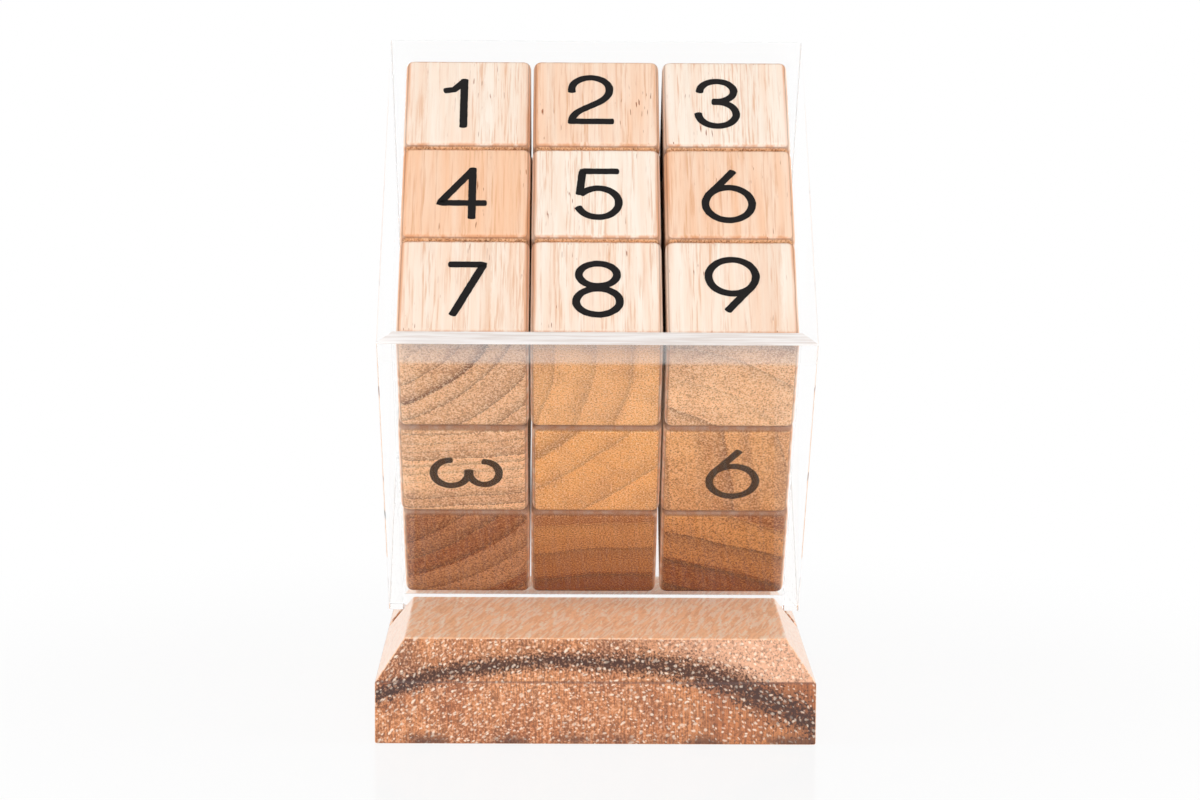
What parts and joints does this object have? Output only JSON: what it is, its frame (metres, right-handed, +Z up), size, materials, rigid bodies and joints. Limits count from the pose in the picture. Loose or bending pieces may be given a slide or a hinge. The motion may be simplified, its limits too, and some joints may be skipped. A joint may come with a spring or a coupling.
{
  "type": "number cube puzzle",
  "caption": "Number puzzle of small wooden cubes with printed digits, stacked in a clear open box that plugs, leaning forward, into a slotted and chamfered wooden base.",
  "frame": {"origin": "centre of the base's underside, on the surface that it stands on", "axes": "+Z up, front of the puzzle towards -Y, +X to the right seen from the front"},
  "size_m": [0.0666, 0.0925, 0.1044],
  "materials": {
    "dark_wood": "oiled, open pores, dark growth bands",
    "acrylic": "clear sheet with sanded edges",
    "pale_wood": "fine sanded, bare",
    "ink": "matt printed digits"
  },
  "bodies": {
    "stand": {"base": "dark_wood"},
    "box": {"box_front": "acrylic", "box_back": "acrylic", "box_left": "acrylic", "box_right": "acrylic", "box_floor": "acrylic"},
    "cube_low_front_left": {"cube_low_front_left": "pale_wood"},
    "cube_low_front_mid": {"cube_low_front_mid": "pale_wood"},
    "cube_low_front_right": {"cube_low_front_right": "pale_wood"},
    "cube_low_mid_left": {"cube_low_mid_left": "pale_wood"},
    "cube_low_mid_mid": {"cube_low_mid_mid": "pale_wood"},
    "cube_low_mid_right": {"cube_low_mid_right": "pale_wood"},
    "cube_low_back_left": {"cube_low_back_left": "pale_wood"},
    "cube_low_back_mid": {"cube_low_back_mid": "pale_wood"},
    "cube_low_back_right": {"cube_low_back_right": "pale_wood"},
    "cube_mid_front_left": {"cube_mid_front_left": "pale_wood"},
    "cube_mid_front_mid": {"cube_mid_front_mid": "pale_wood"},
    "cube_mid_front_right": {"cube_mid_front_right": "pale_wood"},
    "cube_mid_mid_left": {"cube_mid_mid_left": "pale_wood"},
    "cube_mid_mid_mid": {"cube_mid_mid_mid": "pale_wood"},
    "cube_mid_mid_right": {"cube_mid_mid_right": "pale_wood"},
    "cube_mid_back_left": {"cube_mid_back_left": "pale_wood"},
    "cube_mid_back_mid": {"cube_mid_back_mid": "pale_wood"},
    "cube_mid_back_right": {"cube_mid_back_right": "pale_wood"},
    "cube_top_front_left": {"cube_top_front_left": "pale_wood"},
    "cube_top_front_mid": {"cube_top_front_mid": "pale_wood"},
    "cube_top_front_right": {"cube_top_front_right": "pale_wood"},
    "cube_top_mid_left": {"cube_top_mid_left": "pale_wood"},
    "cube_top_mid_mid": {"cube_top_mid_mid": "pale_wood"},
    "cube_top_mid_right": {"cube_top_mid_right": "pale_wood"},
    "cube_top_back_left": {"cube_top_back_left": "pale_wood"},
    "cube_top_back_mid": {"cube_top_back_mid": "pale_wood"},
    "cube_top_back_right": {"cube_top_back_right": "pale_wood"}
  },
  "joints": [
    {"name": "box_unplug", "type": "slide", "parent": "stand", "child": "box", "axis": [0, -0.6561, 0.7547], "range_m": [0, 0.014]},
    {"name": "lift_low_front_left", "type": "slide", "parent": "box", "child": "cube_low_front_left", "axis": [0, -0.6561, 0.7547], "range_m": [0, 0.065]},
    {"name": "lift_mid_front_left", "type": "slide", "parent": "cube_low_front_left", "child": "cube_mid_front_left", "axis": [0, -0.6561, 0.7547], "range_m": [0, 0.045]},
    {"name": "lift_top_front_left", "type": "slide", "parent": "cube_mid_front_left", "child": "cube_top_front_left", "axis": [0, -0.6561, 0.7547], "range_m": [0, 0.025]},
    {"name": "lift_low_front_mid", "type": "slide", "parent": "box", "child": "cube_low_front_mid", "axis": [0, -0.6561, 0.7547], "range_m": [0, 0.065]},
    {"name": "lift_mid_front_mid", "type": "slide", "parent": "cube_low_front_mid", "child": "cube_mid_front_mid", "axis": [0, -0.6561, 0.7547], "range_m": [0, 0.045]},
    {"name": "lift_top_front_mid", "type": "slide", "parent": "cube_mid_front_mid", "child": "cube_top_front_mid", "axis": [0, -0.6561, 0.7547], "range_m": [0, 0.025]},
    {"name": "lift_low_front_right", "type": "slide", "parent": "box", "child": "cube_low_front_right", "axis": [0, -0.6561, 0.7547], "range_m": [0, 0.065]},
    {"name": "lift_mid_front_right", "type": "slide", "parent": "cube_low_front_right", "child": "cube_mid_front_right", "axis": [0, -0.6561, 0.7547], "range_m": [0, 0.045]},
    {"name": "lift_top_front_right", "type": "slide", "parent": "cube_mid_front_right", "child": "cube_top_front_right", "axis": [0, -0.6561, 0.7547], "range_m": [0, 0.025]},
    {"name": "lift_low_mid_left", "type": "slide", "parent": "box", "child": "cube_low_mid_left", "axis": [0, -0.6561, 0.7547], "range_m": [0, 0.065]},
    {"name": "lift_mid_mid_left", "type": "slide", "parent": "cube_low_mid_left", "child": "cube_mid_mid_left", "axis": [0, -0.6561, 0.7547], "range_m": [0, 0.045]},
    {"name": "lift_top_mid_left", "type": "slide", "parent": "cube_mid_mid_left", "child": "cube_top_mid_left", "axis": [0, -0.6561, 0.7547], "range_m": [0, 0.025]},
    {"name": "lift_low_mid_mid", "type": "slide", "parent": "box", "child": "cube_low_mid_mid", "axis": [0, -0.6561, 0.7547], "range_m": [0, 0.065]},
    {"name": "lift_mid_mid_mid", "type": "slide", "parent": "cube_low_mid_mid", "child": "cube_mid_mid_mid", "axis": [0, -0.6561, 0.7547], "range_m": [0, 0.045]},
    {"name": "lift_top_mid_mid", "type": "slide", "parent": "cube_mid_mid_mid", "child": "cube_top_mid_mid", "axis": [0, -0.6561, 0.7547], "range_m": [0, 0.025]},
    {"name": "lift_low_mid_right", "type": "slide", "parent": "box", "child": "cube_low_mid_right", "axis": [0, -0.6561, 0.7547], "range_m": [0, 0.065]},
    {"name": "lift_mid_mid_right", "type": "slide", "parent": "cube_low_mid_right", "child": "cube_mid_mid_right", "axis": [0, -0.6561, 0.7547], "range_m": [0, 0.045]},
    {"name": "lift_top_mid_right", "type": "slide", "parent": "cube_mid_mid_right", "child": "cube_top_mid_right", "axis": [0, -0.6561, 0.7547], "range_m": [0, 0.025]},
    {"name": "lift_low_back_left", "type": "slide", "parent": "box", "child": "cube_low_back_left", "axis": [0, -0.6561, 0.7547], "range_m": [0, 0.065]},
    {"name": "lift_mid_back_left", "type": "slide", "parent": "cube_low_back_left", "child": "cube_mid_back_left", "axis": [0, -0.6561, 0.7547], "range_m": [0, 0.045]},
    {"name": "lift_top_back_left", "type": "slide", "parent": "cube_mid_back_left", "child": "cube_top_back_left", "axis": [0, -0.6561, 0.7547], "range_m": [0, 0.025]},
    {"name": "lift_low_back_mid", "type": "slide", "parent": "box", "child": "cube_low_back_mid", "axis": [0, -0.6561, 0.7547], "range_m": [0, 0.065]},
    {"name": "lift_mid_back_mid", "type": "slide", "parent": "cube_low_back_mid", "child": "cube_mid_back_mid", "axis": [0, -0.6561, 0.7547], "range_m": [0, 0.045]},
    {"name": "lift_top_back_mid", "type": "slide", "parent": "cube_mid_back_mid", "child": "cube_top_back_mid", "axis": [0, -0.6561, 0.7547], "range_m": [0, 0.025]},
    {"name": "lift_low_back_right", "type": "slide", "parent": "box", "child": "cube_low_back_right", "axis": [0, -0.6561, 0.7547], "range_m": [0, 0.065]},
    {"name": "lift_mid_back_right", "type": "slide", "parent": "cube_low_back_right", "child": "cube_mid_back_right", "axis": [0, -0.6561, 0.7547], "range_m": [0, 0.045]},
    {"name": "lift_top_back_right", "type": "slide", "parent": "cube_mid_back_right", "child": "cube_top_back_right", "axis": [0, -0.6561, 0.7547], "range_m": [0, 0.025]}
  ]
}
